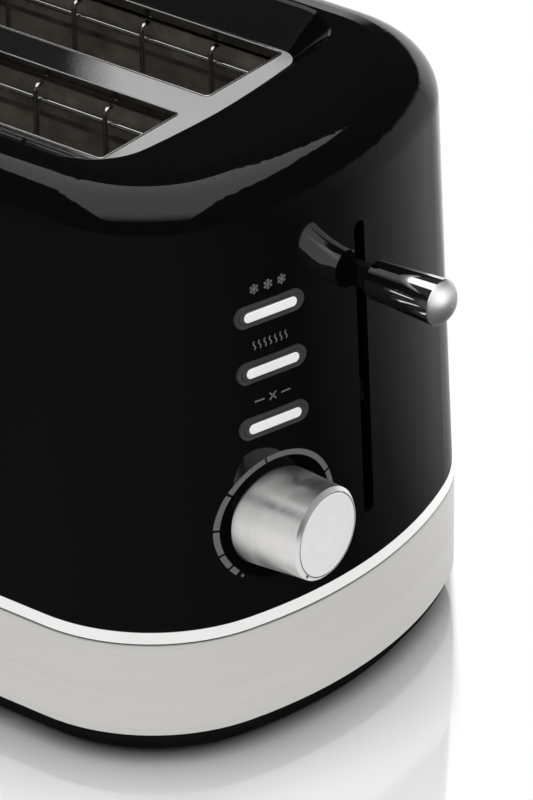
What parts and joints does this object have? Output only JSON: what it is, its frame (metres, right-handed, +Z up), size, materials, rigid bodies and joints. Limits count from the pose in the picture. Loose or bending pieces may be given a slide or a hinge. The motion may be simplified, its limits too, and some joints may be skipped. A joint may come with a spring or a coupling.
{
  "type": "pop up toaster",
  "caption": "Two-slice pop-up toaster with a chrome lever, push buttons, a browning knob and a pull-out crumb tray.",
  "frame": {"origin": "on the surface it stands on, below the middle of the whole toaster, lever and tray handle included", "axes": "+Z up; the controls face -Y and the crumb tray pulls out towards +Y; +X to the right seen from the controls"},
  "size_m": [0.176, 0.314, 0.194],
  "materials": {
    "shell_black": "high gloss",
    "pan_black": "moulded",
    "plate_steel": "polished",
    "ring_chrome": "bright",
    "band_steel": "brushed round the body",
    "feet_rubber": "moulded",
    "zinc_screw": "zinc plated",
    "tray_steel": "mill",
    "frame_steel": "mill",
    "reflector_steel": "bright",
    "mica": "flaky",
    "ribbon": "oxidised",
    "guard_wire": "bright drawn wire",
    "rod_steel": "ground",
    "bush_brass": "sintered",
    "spring_steel": "spring",
    "arm_steel": "black",
    "lever_chrome": "mirror",
    "core_iron": "laminated",
    "coil_copper": "enamelled wire",
    "contact_plastic": "moulded",
    "button_grey": "satin",
    "bar_silver": "silver paint",
    "knob_metal": "brushed",
    "disc_metal": "satin",
    "board_green": "solder mask",
    "board_black": "moulded",
    "standoff_steel": "plain"
  },
  "bodies": {
    "housing": {"band_carrier": "pan_black", "base_band": "band_steel", "base_pan": "pan_black", "base_screws": "zinc_screw", "board_parts": "board_black", "board_standoffs": "standoff_steel", "button_bezels": "button_grey", "contact_block": "contact_plastic", "contact_leaves": "bush_brass", "control_board": "board_green", "cord_gland": "pan_black", "feet": "feet_rubber", "frame_screws": "zinc_screw", "front_frame": "frame_steel", "guide_rod": "rod_steel", "heater_board_inner_left": "mica", "heater_board_inner_right": "mica", "heater_board_outer_left": "mica", "heater_board_outer_right": "mica", "heater_ribbon_inner_left": "ribbon", "heater_ribbon_inner_right": "ribbon", "heater_ribbon_outer_left": "ribbon", "heater_ribbon_outer_right": "ribbon", "lift_spring": "spring_steel", "magnet_bracket": "frame_steel", "magnet_coil": "coil_copper", "magnet_core": "core_iron", "outer_shell": "shell_black", "potentiometer": "board_black", "push_switches": "board_black", "rear_frame": "frame_steel", "reflector_left": "reflector_steel", "reflector_right": "reflector_steel", "slot_plate": "plate_steel", "terminal_block": "contact_plastic", "trim_ring": "ring_chrome"},
    "carriage": {"carriage": "frame_steel", "guide_bush": "bush_brass", "bread_rack_left": "guard_wire", "bread_rack_right": "guard_wire", "lever_arm": "arm_steel", "lever_knob": "lever_chrome", "magnet_keeper": "core_iron", "contact_bridge": "bush_brass"},
    "guard_outer_left": {"guard_outer_left": "guard_wire"},
    "guard_inner_left": {"guard_inner_left": "guard_wire"},
    "guard_inner_right": {"guard_inner_right": "guard_wire"},
    "guard_outer_right": {"guard_outer_right": "guard_wire"},
    "defrost_button": {"defrost_button": "button_grey", "defrost_button_bar": "bar_silver"},
    "reheat_button": {"reheat_button": "button_grey", "reheat_button_bar": "bar_silver"},
    "cancel_button": {"cancel_button": "button_grey", "cancel_button_bar": "bar_silver"},
    "browning_knob": {"knob_barrel": "knob_metal", "knob_disc": "disc_metal", "knob_shaft": "rod_steel"},
    "crumb_tray": {"crumb_tray": "tray_steel", "tray_handle": "pan_black"}
  },
  "joints": [
    {"name": "lever_slide", "type": "slide", "parent": "housing", "child": "carriage", "axis": [0, 0, 1], "range_m": [-0.075, 0.01], "stiffness_N_per_m": 60, "springref_m": 0.02, "deforming": ["lift_spring"]},
    {"name": "guard_outer_left_tilt", "type": "hinge", "parent": "housing", "child": "guard_outer_left", "pos_m": [-0.043, 0.01101, 0.032], "axis": [0, 1, 0], "range_deg": [-0.29, 2.19]},
    {"name": "guard_inner_left_tilt", "type": "hinge", "parent": "housing", "child": "guard_inner_left", "pos_m": [-0.01, 0.01101, 0.032], "axis": [0, 1, 0], "range_deg": [-2.19, 0.29]},
    {"name": "guard_inner_right_tilt", "type": "hinge", "parent": "housing", "child": "guard_inner_right", "pos_m": [0.01, 0.01101, 0.032], "axis": [0, 1, 0], "range_deg": [-0.29, 2.19]},
    {"name": "guard_outer_right_tilt", "type": "hinge", "parent": "housing", "child": "guard_outer_right", "pos_m": [0.043, 0.01101, 0.032], "axis": [0, 1, 0], "range_deg": [-2.19, 0.29]},
    {"name": "defrost_button_press", "type": "slide", "parent": "housing", "child": "defrost_button", "axis": [0.2591, 0.9651, -0.0377], "range_m": [0, 0.0015], "stiffness_N_per_m": 300, "springref_m": -0.002},
    {"name": "reheat_button_press", "type": "slide", "parent": "housing", "child": "reheat_button", "axis": [0.2579, 0.9654, -0.0377], "range_m": [0, 0.0015], "stiffness_N_per_m": 300, "springref_m": -0.002},
    {"name": "cancel_button_press", "type": "slide", "parent": "housing", "child": "cancel_button", "axis": [0.2567, 0.9658, -0.0377], "range_m": [0, 0.0015], "stiffness_N_per_m": 300, "springref_m": -0.002},
    {"name": "browning_turn", "type": "hinge", "parent": "housing", "child": "browning_knob", "pos_m": [-0.0385, -0.13869, 0.0794], "axis": [0, 1, 0], "range_deg": [0, 270]},
    {"name": "tray_pull", "type": "slide", "parent": "housing", "child": "crumb_tray", "axis": [0, 1, 0], "range_m": [0, 0.19]}
  ],
  "couplings": [
    {"joint": "guard_outer_left_tilt", "follows": "lever_slide", "rad_per_m": -0.5},
    {"joint": "guard_inner_left_tilt", "follows": "lever_slide", "rad_per_m": 0.5},
    {"joint": "guard_inner_right_tilt", "follows": "lever_slide", "rad_per_m": -0.5},
    {"joint": "guard_outer_right_tilt", "follows": "lever_slide", "rad_per_m": 0.5}
  ]
}
